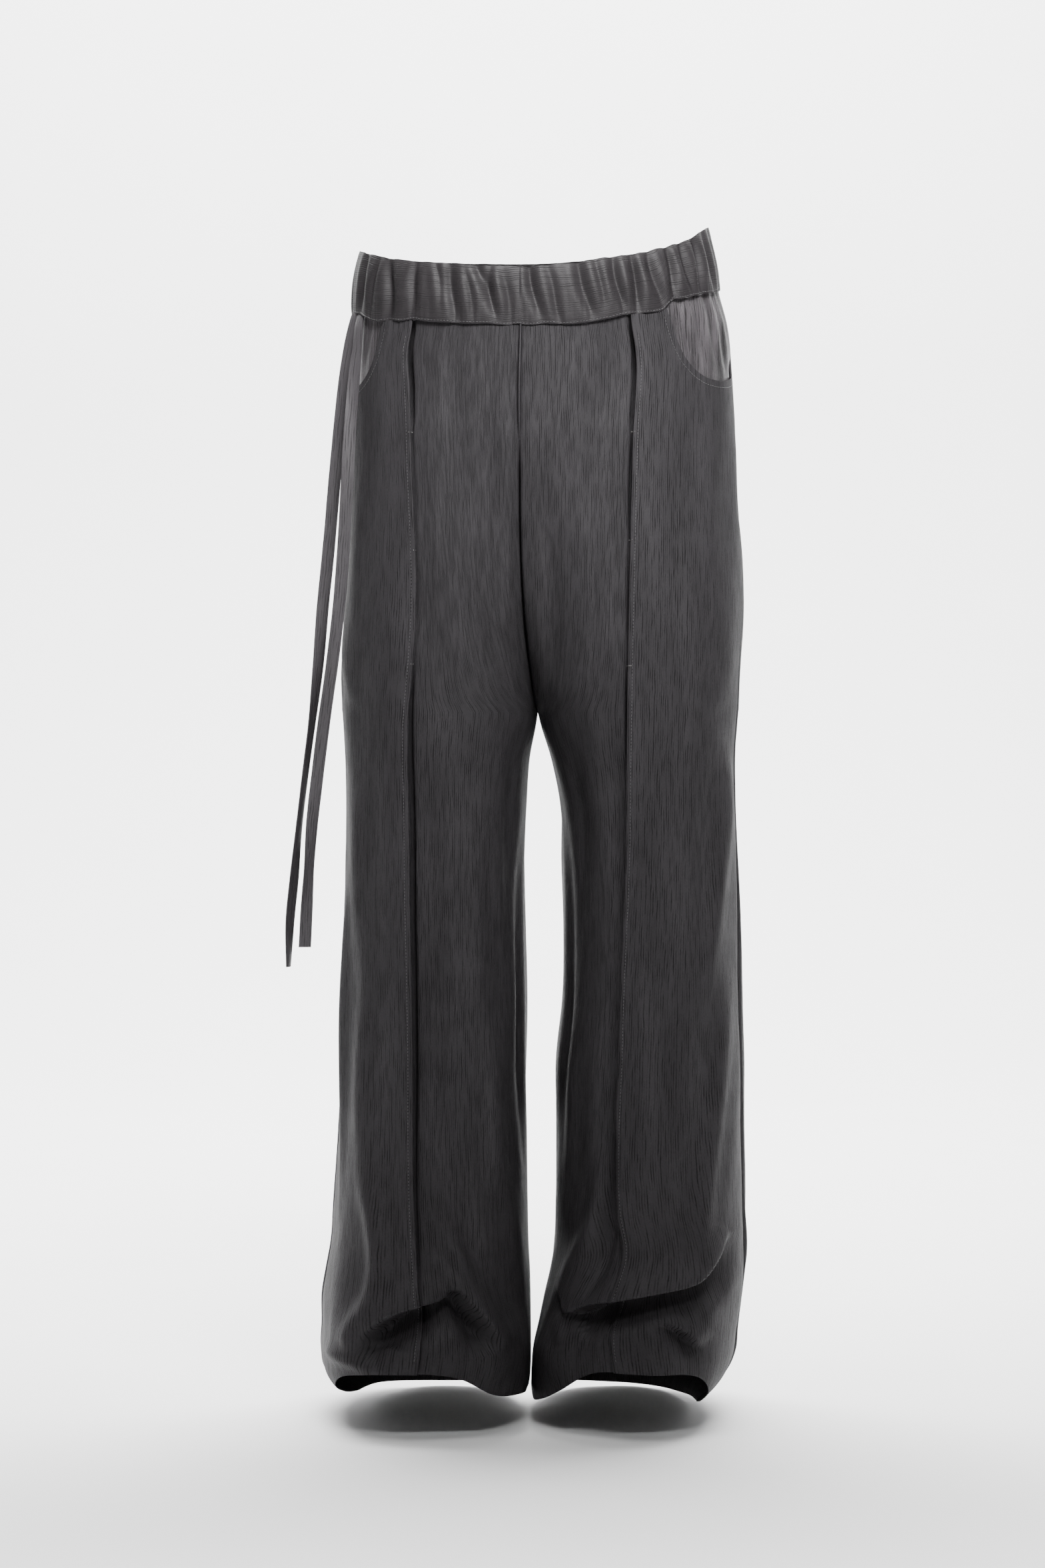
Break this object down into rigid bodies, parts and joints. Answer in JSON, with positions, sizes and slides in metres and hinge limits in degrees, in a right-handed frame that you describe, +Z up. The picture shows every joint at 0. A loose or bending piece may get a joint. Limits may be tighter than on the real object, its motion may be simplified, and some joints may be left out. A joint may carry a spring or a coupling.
{
  "type": "pleated wide-leg trousers",
  "caption": "Full-length wide-leg trousers in crinkled cloth with a gathered elastic waistband, scoop pockets, a lengthwise knife pleat on each front leg and two hanging ties.",
  "frame": {"origin": "middle of the waist opening, at the mid height of the waistband, where the wearer's waist holds the trousers up", "axes": "+Z up towards the waist, -Y the front of the trousers, +X the wearer's left side"},
  "size_m": [0.431, 0.2766, 1.1146],
  "materials": {
    "waistband_crepe": "charcoal crepe, crinkled across, soft sheen",
    "leg_crepe": "charcoal crepe with a fine lengthwise crinkle",
    "pocket_facing": "smoother grey satin-back cloth, a little shiny",
    "tie_crepe": "charcoal crepe folded flat and pressed"
  },
  "bodies": {
    "root": {"waistband": "waistband_crepe", "front_right": "leg_crepe", "front_left": "leg_crepe", "back_right": "leg_crepe", "back_left": "leg_crepe", "facing_right": "pocket_facing", "facing_left": "pocket_facing", "tie_outer": "tie_crepe", "tie_inner": "tie_crepe"}
  },
  "joints": []
}
